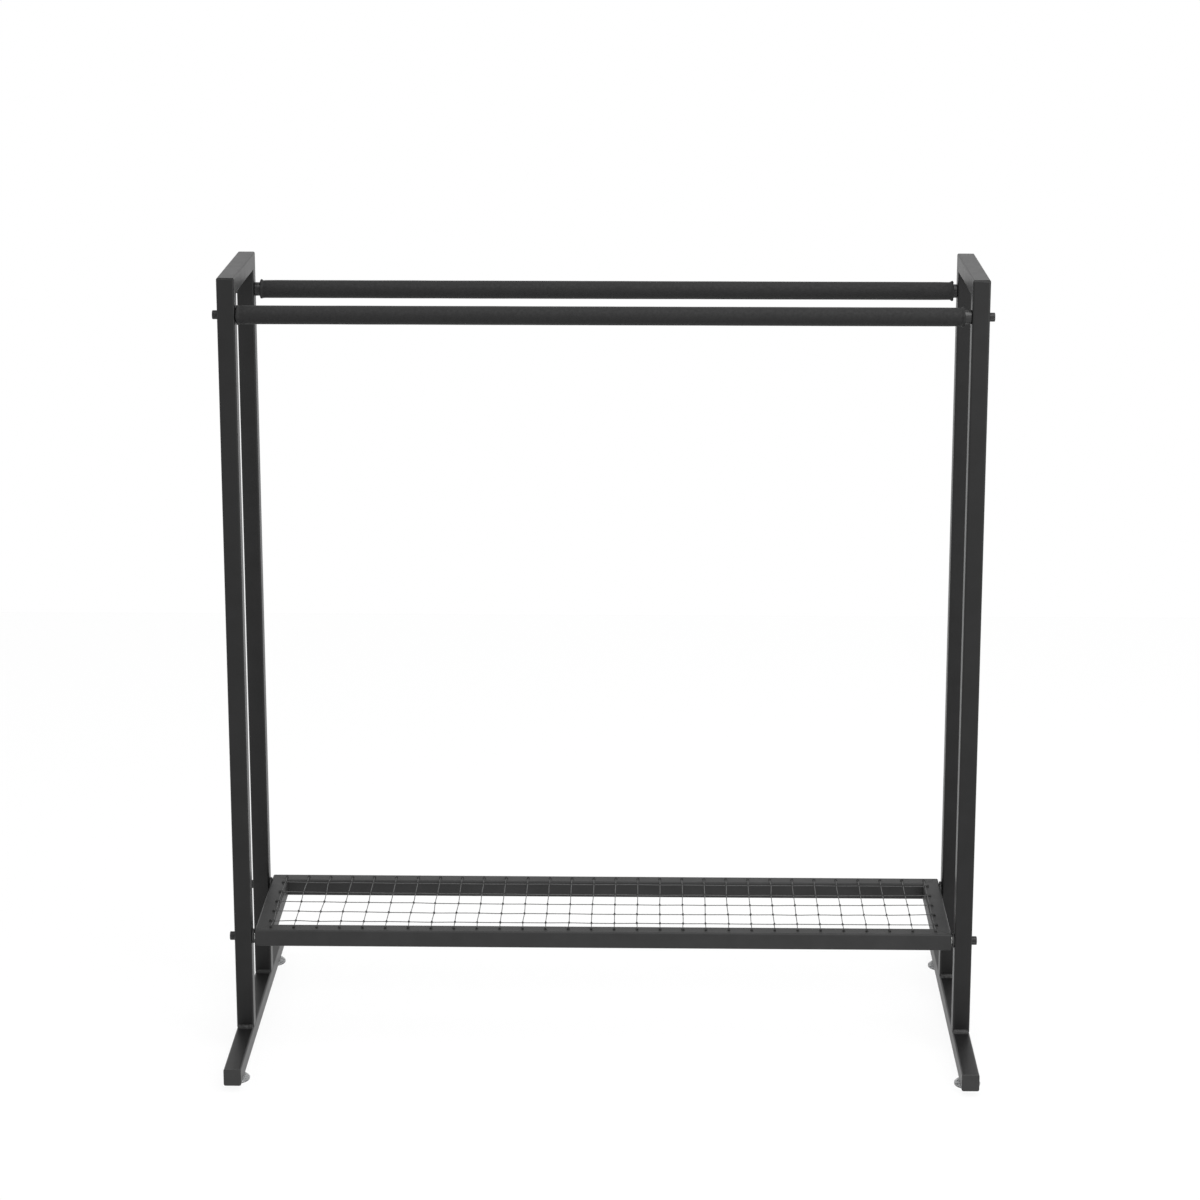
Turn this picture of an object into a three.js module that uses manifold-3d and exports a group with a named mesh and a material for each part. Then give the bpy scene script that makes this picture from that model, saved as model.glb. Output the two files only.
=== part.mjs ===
// A free-standing racket display stand of black coated square tube. Two end frames stand on foot
// beams with levelling feet. Two round rails in foam sleeves join them near the top, and a low
// shelf strung with a knotted net joins them near the floor.
// Millimetres, +Z up, X along the rails, front at -Y, origin on the floor under the middle.
import * as THREE from "three";
import { mergeVertices } from "three/addons/utils/BufferGeometryUtils.js";
import Module from "manifold-3d";

const wasm = await Module();
wasm.setup();

// Driving sizes of the whole stand
const standWidth = 860; // over the outer faces of the posts
const standHeight = 920; // floor to the top of the top bars
const frameDepth = 190; // over the front and rear posts
const footLength = 430; // a foot beam with its two end caps
const footClearance = 8; // floor to the underside of a foot beam, feet screwed in
const railDrop = 43; // top of the stand down to the rails' centre line
const shelfHeight = 139; // floor to the centre of the shelf tubes

// Square tube that the frames and the shelf are cut from
const tubeSize = 20;
const tubeWall = 1.5;
const tubeRadius = 2.2; // outer corners, drawn round
const hollowSize = tubeSize - 2 * tubeWall;
const hollowRadius = tubeRadius - tubeWall;
const mitreGap = 0.3; // between two mitred faces, filled by the weld

// Fits shared by all pieces
const pieceGap = 0.2; // between a piece and its seat
const cutOverrun = 2; // how far a cut runs past the wall it opens

// Rails and their foam sleeves
const railDiameter = 16;
const railWall = 1.2;
const sleeveDiameter = 21;
const sleeveEndDiameter = 23; // the cut ends of the foam swell a little
const sleeveSwellLength = 6;
const sleeveSwellFlat = 2;
const frontSleeveBare = { left: 0.8, right: 7.5 }; // bare rail left at each end
const rearSleeveBare = { left: 6.5, right: 4.5 };
const insertLength = 20; // threaded plug in each end of a rail

// Socket head bolts that hold the rails and the shelf
const boltDiameter = 6;
const boltLength = 35;
const boltHeadDiameter = 10;
const boltHeadHeight = 6;
const boltHeadChamfer = 0.6;
const boltTipChamfer = 0.8;
const socketAcross = 5.8; // over the corners of the six-sided socket
const socketDepth = 3;

// Shelf, its threaded rivet nuts and the spacers between it and the posts
const shelfInset = 2; // shelf faces behind the posts' outer faces
const shelfGap = 3.5; // between the shelf and a post
const rivetNutDiameter = 9;
const rivetNutLength = 13;
const rivetNutFlangeDiameter = 12;
const rivetNutFlange = 1;
const spacerDiameter = 17;

// Net of the shelf
const cordSize = 1.6;
const cordEndSize = 1.2; // where a cord's end is drawn down through its hole
const depthCordPitch = 26.8;
const depthCordInset = 15; // least distance of a depth cord from the shelf's end
const crossCordPitch = 31.8;
const crossCordInset = 5; // least distance of a cross cord from a long tube's inner face
const netSag = 2;
const cordHoleDiameter = 3.4;
const knotSize = 4;
const knotHeight = 2.6;
const sideHoleInset = 5; // cord holes in the side tubes, from the tubes' inner faces

// End caps of the foot beams
const capFlange = 2;
const capPlugLength = 12;
const capPlugWall = 2;

// Levelling feet: a pad, the stud that turns in it and the nut in the beam
const footSetback = 38; // centre of a foot from the end of its beam
const padDiameter = 30;
const padRimHeight = 2.8;
const padEdge = 0.8;
const padCrownDiameter = 16;
const padFloor = 2; // plastic under the stud's collar
const padLip = 1.4; // plastic over the stud's collar
const studDiameter = 8;
const studCollarDiameter = 11;
const studTopGap = 2; // stud to the beam's upper wall
const studChamfer = 0.8;
const footNutDiameter = 11.5;
const footNutLength = 10;
const footNutFlangeDiameter = 15;
const footNutFlange = 1;

// Counts of facets
const cornerSteps = 1; // an arc gets twice as many facets
const hiddenSides = 12; // nuts, studs and plugs inside the tubes
const headSides = 16; // bolts and spacers
const socketSides = 6; // hex key socket of a bolt
const padSides = 20;
const railSides = 24;
const cordHoleSides = 6;
const crownSteps = 3;

// Places that follow from the sizes above
const quarterTurn = Math.PI / 2;
const beamTop = footClearance + tubeSize;
const postOffset = (frameDepth - tubeSize) / 2;
const railHeight = standHeight - railDrop;
const innerWidth = standWidth - 2 * tubeSize;
const shelfLength = innerWidth - 2 * shelfGap;
const shelfDepth = frameDepth - 2 * shelfInset;
const shelfTop = shelfHeight + tubeSize / 2;
const sides = [
  { name: "left", sign: -1 },
  { name: "right", sign: 1 },
];
const rows = [
  { name: "front", sign: -1 },
  { name: "rear", sign: 1 },
];

// Finishes: black powder coat, foam, black screws, zinc plate, plastic and net cord
function finish(color, roughness, metalness) {
  return () => new THREE.MeshStandardMaterial({ color, roughness, metalness });
}
const blackCoat = finish(0x2c2c2e, 0.5, 0.1);
const blackFoam = finish(0x252528, 0.9, 0);
const blackSteel = finish(0x1a1a1b, 0.4, 0.7);
const zincPlate = finish(0xb4b4ae, 0.35, 0.9);
const blackPlastic = finish(0x2a2a2c, 0.55, 0);
const clearPlastic = finish(0xe9ebec, 0.3, 0);
const blackCord = finish(0x1c1c1e, 0.8, 0);

// A closed geometry as a solid that can be joined and cut
function solidOf(geometry) {
  const bare = geometry.clone();
  bare.deleteAttribute("normal");
  bare.deleteAttribute("uv");
  const merged = mergeVertices(bare);
  const vertProperties = merged.attributes.position.array;
  const triVerts = new Uint32Array(merged.index.array);
  return new wasm.Manifold(new wasm.Mesh({ numProp: 3, vertProperties, triVerts }));
}

// A solid back as a geometry, with the needless edges on its flat faces taken out
function geometryOf(solid) {
  const { vertProperties, triVerts, numProp } = solid.asOriginal().simplify().getMesh();
  const geometry = new THREE.BufferGeometry();
  geometry.setAttribute("position", new THREE.BufferAttribute(vertProperties, numProp));
  geometry.setIndex(new THREE.BufferAttribute(triVerts, 1));
  geometry.computeVertexNormals();
  return geometry;
}

// The geometry with every cutter taken out of it
function cut(geometry, cutters) {
  let solid = solidOf(geometry);
  for (const cutter of cutters) {
    solid = solid.subtract(solidOf(cutter));
  }
  return geometryOf(solid);
}

// A square with round corners, added to a shape or a path
function roundedSquare(path, size, radius) {
  const flat = size / 2 - radius;
  path.absarc(flat, -flat, radius, -quarterTurn, 0);
  path.absarc(flat, flat, radius, 0, quarterTurn);
  path.absarc(-flat, flat, radius, quarterTurn, 2 * quarterTurn);
  path.absarc(-flat, -flat, radius, 2 * quarterTurn, 3 * quarterTurn);
  return path;
}

// Square tube along +Z from zero. A mitre names the way that the short side of a cut end faces.
function squareTube(length, startMitre, endMitre) {
  const section = roundedSquare(new THREE.Shape(), tubeSize, tubeRadius);
  section.holes.push(roundedSquare(new THREE.Path(), hollowSize, hollowRadius));
  const geometry = new THREE.ExtrudeGeometry(section, {
    depth: length,
    bevelEnabled: false,
    curveSegments: cornerSteps,
  });
  const places = geometry.attributes.position;
  for (let i = 0; i < places.count; i += 1) {
    const atEnd = places.getZ(i) > length / 2;
    const mitre = atEnd ? endMitre : startMitre;
    if (mitre) {
      const across = places.getX(i) * mitre.x + places.getY(i) * mitre.y;
      const shorter = across + tubeSize / 2;
      places.setZ(i, places.getZ(i) + (atEnd ? -shorter : shorter));
    }
  }
  return geometry;
}

// A turned piece about Z from its profile of [radius, height] points
function turned(profile, segments) {
  const points = profile.map(([radius, height]) => new THREE.Vector2(radius, height));
  return new THREE.LatheGeometry(points, segments).rotateX(quarterTurn);
}

// A turned ring: bore and outer radius between two heights
function ring(boreRadius, outerRadius, low, high, segments) {
  const profile = [
    [boreRadius, low],
    [outerRadius, low],
    [outerRadius, high],
    [boreRadius, high],
    [boreRadius, low],
  ];
  return turned(profile, segments);
}

// A cutter or rod centred on the origin, along X, Y or Z
function rod(axis, diameter, length, segments) {
  const geometry = new THREE.CylinderGeometry(diameter / 2, diameter / 2, length, segments);
  if (axis === "x") geometry.rotateZ(quarterTurn);
  if (axis === "z") geometry.rotateX(quarterTurn);
  return geometry;
}

function piece(name, geometry, makeFinish) {
  const mesh = new THREE.Mesh(geometry, makeFinish());
  mesh.name = name;
  return mesh;
}

// Post of an end frame, from the foot beam up, mitred at the top for the top bar.
// Its two cross holes take the rail bolt and the shelf bolt.
function postGeometry() {
  const tube = squareTube(standHeight - beamTop, null, new THREE.Vector2(0, 1));
  const holes = [railHeight, shelfHeight].map((height) => {
    const holeDiameter = boltDiameter + 2 * pieceGap;
    const hole = rod("x", holeDiameter, tubeSize + 2 * cutOverrun, hiddenSides);
    return hole.translate(0, 0, height - beamTop);
  });
  return cut(tube, holes);
}

// Top bar, along +Z until it is laid down, mitred at both ends
function topBarGeometry() {
  const down = new THREE.Vector2(0, 1);
  return squareTube(frameDepth - 2 * mitreGap, down, down);
}

// Foot beam, along +Z until it is laid down, with a hole in its lower wall for each foot nut
function footBeamGeometry() {
  const length = footLength - 2 * capFlange;
  const tube = squareTube(length, null, null);
  const holeDiameter = footNutDiameter + 2 * pieceGap;
  const setback = footSetback - capFlange;
  const holes = [setback, length - setback].map((along) => {
    const hole = rod("y", holeDiameter, tubeWall + 2 * cutOverrun, hiddenSides);
    return hole.translate(0, (tubeSize - tubeWall) / 2, along);
  });
  return cut(tube, holes);
}

// Moulded cap: a flange over the end of the beam and a hollow plug inside it, along +Z
function capGeometry() {
  const flange = new THREE.ExtrudeGeometry(roundedSquare(new THREE.Shape(), tubeSize, tubeRadius), {
    depth: capFlange - pieceGap,
    bevelEnabled: false,
    curveSegments: cornerSteps,
  });
  const plugSize = hollowSize - 2 * pieceGap;
  const plug = new THREE.BoxGeometry(plugSize, plugSize, capFlange + capPlugLength);
  plug.translate(0, 0, (capFlange + capPlugLength) / 2);
  const hollow = new THREE.BoxGeometry(
    plugSize - 2 * capPlugWall,
    plugSize - 2 * capPlugWall,
    capPlugLength + cutOverrun,
  );
  hollow.translate(0, 0, capFlange + (capPlugLength + cutOverrun) / 2);
  return geometryOf(solidOf(flange).add(solidOf(plug)).subtract(solidOf(hollow)));
}

// Rivet nut: a flange outside the wall and a body inside it, which starts at zero along +Z
function rivetNutGeometry(threadDiameter, bodyDiameter, length, flangeDiameter, flange) {
  const bore = threadDiameter / 2 + pieceGap;
  const profile = [
    [bore, -flange],
    [flangeDiameter / 2, -flange],
    [flangeDiameter / 2, -pieceGap],
    [bodyDiameter / 2, -pieceGap],
    [bodyDiameter / 2, length],
    [bore, length],
    [bore, -flange],
  ];
  return turned(profile, hiddenSides);
}

// Socket head bolt: the shank runs along +Z from zero and the head lies below zero
function boltGeometry() {
  const head = boltHeadDiameter / 2;
  const shank = boltDiameter / 2;
  const profile = [
    [0, -boltHeadHeight],
    [head - boltHeadChamfer, -boltHeadHeight],
    [head, boltHeadChamfer - boltHeadHeight],
    [head, 0],
    [shank, 0],
    [shank, boltLength - boltTipChamfer],
    [shank - boltTipChamfer, boltLength],
    [0, boltLength],
  ];
  const socket = rod("z", socketAcross, socketDepth + cutOverrun, socketSides);
  socket.translate(0, 0, (socketDepth - cutOverrun) / 2 - boltHeadHeight);
  return cut(turned(profile, headSides), [socket]);
}

// Foot pad: a round foot with a crowned top and a lipped socket for the stud's collar
const padHeight = footClearance - footNutFlange - pieceGap;
const collarLow = padFloor + pieceGap;
const collarHigh = padHeight - padLip - pieceGap;

function padGeometry() {
  const rim = padDiameter / 2;
  const crown = padCrownDiameter / 2;
  const socket = studCollarDiameter / 2 + pieceGap;
  const mouth = studDiameter / 2 + 2 * pieceGap;
  const profile = [
    [0, 0],
    [rim - padEdge, 0],
    [rim, padEdge],
    [rim, padRimHeight],
  ];
  // The crown rises in a quarter wave from the rim to the flat middle
  for (let step = 1; step <= crownSteps; step += 1) {
    const share = step / crownSteps;
    const rise = Math.sin(share * quarterTurn);
    profile.push([
      rim - padEdge + (crown - rim + padEdge) * share,
      padRimHeight + (padHeight - padRimHeight) * rise,
    ]);
  }
  profile.push(
    [mouth, padHeight],
    [mouth, padHeight - padLip],
    [socket, padHeight - padLip],
    [socket, padFloor],
    [0, padFloor],
  );
  return turned(profile, padSides);
}

// Stud of a foot: its collar turns in the pad's socket and its thread climbs through the nut
function studGeometry() {
  const shank = studDiameter / 2;
  const collar = studCollarDiameter / 2;
  const top = footClearance + tubeSize - tubeWall - studTopGap;
  const profile = [
    [0, collarLow],
    [collar, collarLow],
    [collar, collarHigh],
    [shank, collarHigh],
    [shank, top - studChamfer],
    [shank - studChamfer, top],
    [0, top],
  ];
  return turned(profile, hiddenSides);
}

// Foam sleeve along +Z from zero, with both ends swollen where the foam was cut
function sleeveGeometry(length) {
  const bore = railDiameter / 2 + pieceGap;
  const end = sleeveEndDiameter / 2;
  const body = sleeveDiameter / 2;
  const profile = [
    [bore, 0],
    [end, 0],
    [end, sleeveSwellFlat],
    [body, sleeveSwellLength],
    [body, length - sleeveSwellLength],
    [end, length - sleeveSwellFlat],
    [end, length],
    [bore, length],
    [bore, 0],
  ];
  return turned(profile, railSides);
}

// A foot in its place on a beam: the pad and stud stand on the floor, the nut hangs in the beam
function addFoot(frame, side, row) {
  const y = row.sign * (footLength / 2 - footSetback);
  const prefix = side.name + "_" + row.name;
  const pad = piece(prefix + "_foot_pad", padGeometry(), clearPlastic);
  pad.position.y = y;
  const stud = piece(prefix + "_foot_stud", studGeometry(), zincPlate);
  stud.position.y = y;
  const nutShape = rivetNutGeometry(
    studDiameter,
    footNutDiameter,
    footNutLength,
    footNutFlangeDiameter,
    footNutFlange,
  );
  const nut = piece(prefix + "_foot_nut", nutShape, zincPlate);
  nut.position.set(0, y, footClearance);
  frame.add(pad, stud, nut);
}

// Caps close both ends of a foot beam, their flanges in line with the tube
function addCap(frame, side, row) {
  const cap = piece(side.name + "_" + row.name + "_beam_cap", capGeometry(), blackPlastic);
  cap.position.set(0, row.sign * (footLength / 2), footClearance + tubeSize / 2);
  cap.rotation.x = row.sign * quarterTurn;
  frame.add(cap);
}

// A bolt through a post at a given height, head on the stand's outer side
function addBolt(frame, side, row, height, use) {
  const bolt = piece(side.name + "_" + row.name + "_" + use + "_bolt", boltGeometry(), blackSteel);
  const outer = side.sign * (tubeSize / 2 + pieceGap);
  bolt.position.set(outer, row.sign * postOffset, height);
  bolt.rotation.y = -side.sign * quarterTurn;
  frame.add(bolt);
}

// End frame: two posts and a top bar on a foot beam, with its feet, caps and bolts
function endFrame(side) {
  const frame = new THREE.Group();
  frame.position.x = side.sign * (standWidth - tubeSize) / 2;

  for (const row of rows) {
    const post = piece(side.name + "_" + row.name + "_post", postGeometry(), blackCoat);
    post.position.set(0, row.sign * postOffset, beamTop);
    post.rotation.z = row.sign > 0 ? Math.PI : 0;
    frame.add(post);
    addCap(frame, side, row);
    addFoot(frame, side, row);
    addBolt(frame, side, row, railHeight, "rail");
    addBolt(frame, side, row, shelfHeight, "shelf");
  }

  const topBar = piece(side.name + "_top_bar", topBarGeometry(), blackCoat);
  topBar.position.set(0, mitreGap - frameDepth / 2, standHeight - tubeSize / 2);
  topBar.rotation.x = -quarterTurn;

  const beam = piece(side.name + "_foot_beam", footBeamGeometry(), blackCoat);
  beam.position.set(0, capFlange - footLength / 2, footClearance + tubeSize / 2);
  beam.rotation.x = -quarterTurn;

  frame.add(topBar, beam);
  return frame;
}

// Rail between two posts: a round tube with a threaded plug in each end, in its foam sleeve
function rail(row, bare) {
  const group = new THREE.Group();
  group.position.set(-innerWidth / 2, row.sign * postOffset, railHeight);
  group.rotation.y = quarterTurn;

  const railLength = innerWidth - 2 * pieceGap;
  const bore = railDiameter / 2 - railWall;
  const tubeShape = ring(bore, railDiameter / 2, pieceGap, pieceGap + railLength, railSides);
  group.add(piece(row.name + "_rail_tube", tubeShape, blackCoat));

  const sleeve = sleeveGeometry(innerWidth - bare.left - bare.right);
  const foam = piece(row.name + "_rail_sleeve", sleeve, blackFoam);
  foam.position.z = bare.left;
  group.add(foam);

  for (const side of sides) {
    const low = side.sign < 0 ? pieceGap : innerWidth - pieceGap - insertLength;
    const threadBore = boltDiameter / 2 + pieceGap;
    const insert = ring(threadBore, bore - pieceGap, low, low + insertLength, hiddenSides);
    group.add(piece(row.name + "_rail_" + side.name + "_insert", insert, zincPlate));
  }
  return group;
}

// Places of as many evenly pitched cords about the middle as a span takes
function cordPlaces(span, pitch) {
  const gaps = Math.floor(span / pitch);
  return Array.from({ length: gaps + 1 }, (_, i) => (i - gaps / 2) * pitch);
}
const depthCordPlaces = cordPlaces(shelfLength - 2 * depthCordInset, depthCordPitch);
const crossCordPlaces = cordPlaces(shelfDepth - 2 * (tubeSize + crossCordInset), crossCordPitch);
const depthCordReach = (shelfDepth - tubeSize) / 2; // front and rear cord holes
const crossCordReach = shelfLength / 2 - tubeSize + sideHoleInset; // side cord holes

// Long shelf tube along +Z, laid down as the front one, with a cord hole in its top wall for
// each depth cord
function longShelfTube() {
  const inward = new THREE.Vector2(0, 1);
  const tube = squareTube(shelfLength, inward, inward);
  const holes = depthCordPlaces.map((place) => {
    const hole = rod("x", cordHoleDiameter, tubeWall + 2 * cutOverrun, cordHoleSides);
    return hole.translate((tubeWall - tubeSize) / 2, 0, shelfLength / 2 + place);
  });
  return cut(tube, holes);
}

// Side shelf tube along +Z, laid down as the left one. Its top wall has the cross cords' holes
// and its outer wall has the rivet nuts' holes.
function sideShelfTube() {
  const inward = new THREE.Vector2(1, 0);
  const length = shelfDepth - 2 * mitreGap;
  const tube = squareTube(length, inward, inward);
  const cordHoles = crossCordPlaces.map((place) => {
    const hole = rod("y", cordHoleDiameter, tubeWall + 2 * cutOverrun, cordHoleSides);
    const across = tubeSize / 2 - sideHoleInset;
    return hole.translate(across, (tubeWall - tubeSize) / 2, length / 2 + place);
  });
  const nutHoleDiameter = rivetNutDiameter + 2 * pieceGap;
  const nutHoles = rows.map((row) => {
    const hole = rod("x", nutHoleDiameter, tubeWall + 2 * cutOverrun, hiddenSides);
    return hole.translate((tubeWall - tubeSize) / 2, 0, length / 2 + row.sign * postOffset);
  });
  return cut(tube, [...cordHoles, ...nutHoles]);
}

// Net of crossed cords. Each end turns down through its hole to a knot inside the tube, and
// the middle hangs a little.
function netGeometry() {
  const cordMiddle = pieceGap + cordSize / 2;
  const knotTop = -tubeWall - pieceGap;
  const legHeight = cordMiddle - knotTop + knotHeight / 2;

  const bars = [];
  const addEnd = (x, y) => {
    const leg = new THREE.BoxGeometry(cordEndSize, cordEndSize, legHeight);
    bars.push(leg.translate(x, y, cordMiddle - legHeight / 2));
    const knot = new THREE.BoxGeometry(knotSize, knotSize, knotHeight);
    bars.push(knot.translate(x, y, knotTop - knotHeight / 2));
  };
  for (const x of depthCordPlaces) {
    const cord = new THREE.BoxGeometry(cordSize, 2 * depthCordReach + cordSize, cordSize);
    bars.push(cord.translate(x, 0, cordMiddle));
    addEnd(x, -depthCordReach);
    addEnd(x, depthCordReach);
  }
  for (const y of crossCordPlaces) {
    const cord = new THREE.BoxGeometry(2 * crossCordReach + cordSize, cordSize, cordSize);
    bars.push(cord.translate(0, y, cordMiddle));
    addEnd(-crossCordReach, y);
    addEnd(crossCordReach, y);
  }

  const geometry = geometryOf(wasm.Manifold.union(bars.map(solidOf)));
  const places = geometry.attributes.position;
  const halfLength = shelfLength / 2 - tubeSize;
  const halfDepth = shelfDepth / 2 - tubeSize;
  const bowl = (place, half) => Math.max(0, 1 - (place / half) ** 2);
  for (let i = 0; i < places.count; i += 1) {
    const drop = netSag * bowl(places.getX(i), halfLength) * bowl(places.getY(i), halfDepth);
    places.setZ(i, places.getZ(i) - drop);
  }
  geometry.computeVertexNormals();
  return geometry;
}

// Shelf: four mitred tubes, the net, and at each corner a rivet nut and a spacer to the post
function shelf() {
  const group = new THREE.Group();
  group.position.z = shelfHeight;

  for (const row of rows) {
    const tube = piece("shelf_" + row.name + "_tube", longShelfTube(), blackCoat);
    const turn = new THREE.Group();
    turn.rotation.z = row.sign > 0 ? Math.PI : 0;
    tube.position.set(-shelfLength / 2, tubeSize / 2 - shelfDepth / 2, 0);
    tube.rotation.y = quarterTurn;
    turn.add(tube);
    group.add(turn);
  }

  for (const side of sides) {
    const tube = piece("shelf_" + side.name + "_tube", sideShelfTube(), blackCoat);
    const turn = new THREE.Group();
    turn.rotation.z = side.sign > 0 ? Math.PI : 0;
    tube.position.set(tubeSize / 2 - shelfLength / 2, mitreGap - shelfDepth / 2, 0);
    tube.rotation.x = -quarterTurn;
    turn.add(tube);
    group.add(turn);

    for (const row of rows) {
      const corner = new THREE.Group();
      corner.position.set(side.sign * shelfLength / 2, row.sign * postOffset, 0);
      corner.rotation.y = -side.sign * quarterTurn;
      const nutShape = rivetNutGeometry(
        boltDiameter,
        rivetNutDiameter,
        rivetNutLength,
        rivetNutFlangeDiameter,
        rivetNutFlange,
      );
      const prefix = "shelf_" + side.name + "_" + row.name;
      corner.add(piece(prefix + "_nut", nutShape, zincPlate));
      const spacerShape = ring(
        boltDiameter / 2 + pieceGap,
        spacerDiameter / 2,
        pieceGap - shelfGap,
        -rivetNutFlange - pieceGap,
        headSides,
      );
      corner.add(piece(prefix + "_spacer", spacerShape, blackPlastic));
      group.add(corner);
    }
  }

  const net = piece("shelf_net", netGeometry(), blackCord);
  net.position.z = shelfTop - shelfHeight;
  group.add(net);
  return group;
}

const stand = new THREE.Group();
stand.add(...sides.map(endFrame));
stand.add(rail(rows[0], frontSleeveBare));
stand.add(rail(rows[1], rearSleeveBare));
stand.add(shelf());

export default stand;
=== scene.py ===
import math
import random

import bmesh
import bpy
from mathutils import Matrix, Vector


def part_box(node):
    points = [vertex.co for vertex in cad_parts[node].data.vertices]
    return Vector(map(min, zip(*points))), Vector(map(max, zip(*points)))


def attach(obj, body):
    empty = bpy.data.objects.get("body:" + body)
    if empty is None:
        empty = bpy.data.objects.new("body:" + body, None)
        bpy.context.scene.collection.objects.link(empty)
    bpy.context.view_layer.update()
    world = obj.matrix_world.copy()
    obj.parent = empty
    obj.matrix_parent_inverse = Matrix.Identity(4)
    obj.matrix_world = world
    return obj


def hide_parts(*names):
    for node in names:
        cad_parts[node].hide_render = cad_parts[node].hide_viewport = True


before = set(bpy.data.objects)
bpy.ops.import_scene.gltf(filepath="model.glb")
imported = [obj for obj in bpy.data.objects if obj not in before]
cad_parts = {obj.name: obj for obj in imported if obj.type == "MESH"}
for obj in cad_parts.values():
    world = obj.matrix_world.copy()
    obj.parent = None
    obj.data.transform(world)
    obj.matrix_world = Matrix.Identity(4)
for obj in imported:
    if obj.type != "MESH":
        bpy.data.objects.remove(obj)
bpy.context.view_layer.update()
print("frame loaded:", len(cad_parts), "nodes")

sides = ("left", "right")
rows = ("front", "rear")
axes = (Vector((1, 0, 0)), Vector((0, 1, 0)), Vector((0, 0, 1)))
quarter = math.pi / 2
aligned = 0.99              # a way this near to an axis counts as along it
samePoint = 0.000002        # points nearer than this are one
nearPoint = 0.00001         # and nearer than this are picked together
cutTolerance = 0.0000001


# The camera stands where the photo's did, as near as its small shift allows
cameraValues = {
    "place": (0.0577, -3.5, 1.4946),
    "tilt": 13.27,      # degrees down
    "turn": 1.02,       # degrees to the left
    "lens": 93.3,
    "shift": -0.10,
}


def addCamera(values):
    aim = (math.radians(90 - values["tilt"]), 0, math.radians(values["turn"]))
    bpy.ops.object.camera_add(location=values["place"], rotation=aim)
    camera = bpy.context.object
    camera.name = "photoCamera"
    camera.data.lens = values["lens"]
    camera.data.shift_y = values["shift"]
    bpy.context.scene.camera = camera


addCamera(cameraValues)


# Selecting and changing meshes

def deselect():
    bpy.ops.object.select_all(action="DESELECT")


def selectOnly(piece):
    deselect()
    piece.select_set(True)
    bpy.context.view_layer.objects.active = piece


def startEdit(piece):
    selectOnly(piece)
    bpy.ops.object.mode_set(mode="EDIT")
    bpy.ops.mesh.select_all(action="DESELECT")


def endEdit():
    bpy.ops.object.mode_set(mode="OBJECT")


def takeAll():
    bpy.ops.mesh.select_all(action="SELECT")


def pick(piece, wanted, kind):
    bpy.ops.mesh.select_all(action="DESELECT")
    bpy.ops.mesh.select_mode(type=kind)
    shape = bmesh.from_edit_mesh(piece.data)
    for item in shape.edges if kind == "EDGE" else shape.faces:
        if wanted(item):
            item.select_set(True)
    shape.select_flush_mode()
    bmesh.update_edit_mesh(piece.data)


def edgeWay(edge):
    return (edge.verts[1].co - edge.verts[0].co).normalized()


def edgeMiddle(edge):
    return (edge.verts[1].co + edge.verts[0].co) / 2


def applyModifier(piece, kind, **settings):
    selectOnly(piece)
    modifier = piece.modifiers.new(kind.lower(), kind)
    for setting, value in settings.items():
        setattr(modifier, setting, value)
    bpy.ops.object.modifier_apply(modifier=modifier.name)


def cutOff(point, outward, fill=True):
    takeAll()
    bpy.ops.mesh.bisect(
        plane_co=point, plane_no=outward, clear_outer=True, use_fill=fill, threshold=cutTolerance
    )


def mergeDoubles():
    takeAll()
    bpy.ops.mesh.remove_doubles(threshold=samePoint)


def turnOutwards():
    takeAll()
    bpy.ops.mesh.normals_make_consistent(inside=False)


def roundEdges(size, steps, **settings):
    bpy.ops.mesh.bevel(offset=size, segments=steps, profile=0.5, affect="EDGES", **settings)


def extrudeFace(step):
    bpy.ops.mesh.extrude_region_move(TRANSFORM_OT_translate={"value": step})


def extrudePoint(step):
    bpy.ops.mesh.extrude_vertices_move(TRANSFORM_OT_translate={"value": step})


def fixPlace():
    bpy.ops.object.transform_apply(location=True, rotation=True, scale=True)


def combine(piece, other, operation="DIFFERENCE"):
    applyModifier(piece, "BOOLEAN", operation=operation, solver="EXACT", object=other)
    bpy.data.objects.remove(other)


def joinAll(pieces):
    deselect()
    for piece in pieces:
        piece.select_set(True)
    bpy.context.view_layer.objects.active = pieces[0]
    bpy.ops.object.join()
    return pieces[0]


def copyOf(piece):
    twin = piece.copy()
    twin.data = piece.data.copy()
    bpy.context.scene.collection.objects.link(twin)
    return twin


# Pushes a surface in and out by soft clouds, where a vertex group lets it
def roughen(piece, size, height, group=""):
    clouds = bpy.data.textures.new(piece.name + "Clouds", "CLOUDS")
    clouds.noise_scale = size
    clouds.noise_depth = 1
    applyModifier(
        piece, "DISPLACE", texture=clouds, texture_coords="LOCAL", strength=height, mid_level=0.5,
        vertex_group=group,
    )
    bpy.data.textures.remove(clouds)


# Starting shapes

def addBlock(low, high):
    deselect()
    bpy.ops.mesh.primitive_cube_add(size=1, location=(low + high) / 2, scale=high - low)
    fixPlace()
    return bpy.context.object


def addRod(centre, along, radius, length, corners):
    turn = ((0, quarter, 0), (-quarter, 0, 0), (0, 0, 0))[along]
    deselect()
    bpy.ops.mesh.primitive_cylinder_add(
        vertices=corners, radius=radius, depth=length, location=centre, rotation=turn
    )
    fixPlace()
    return bpy.context.object


# One point in edit mode, to extrude an outline from
def addPoint(place):
    deselect()
    bpy.ops.mesh.primitive_plane_add(size=0.001)
    piece = bpy.context.object
    startEdit(piece)
    bpy.ops.mesh.select_mode(type="VERT")
    takeAll()
    bpy.ops.mesh.merge(type="CENTER")
    takeAll()
    bpy.ops.transform.translate(value=place)
    return piece


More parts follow.
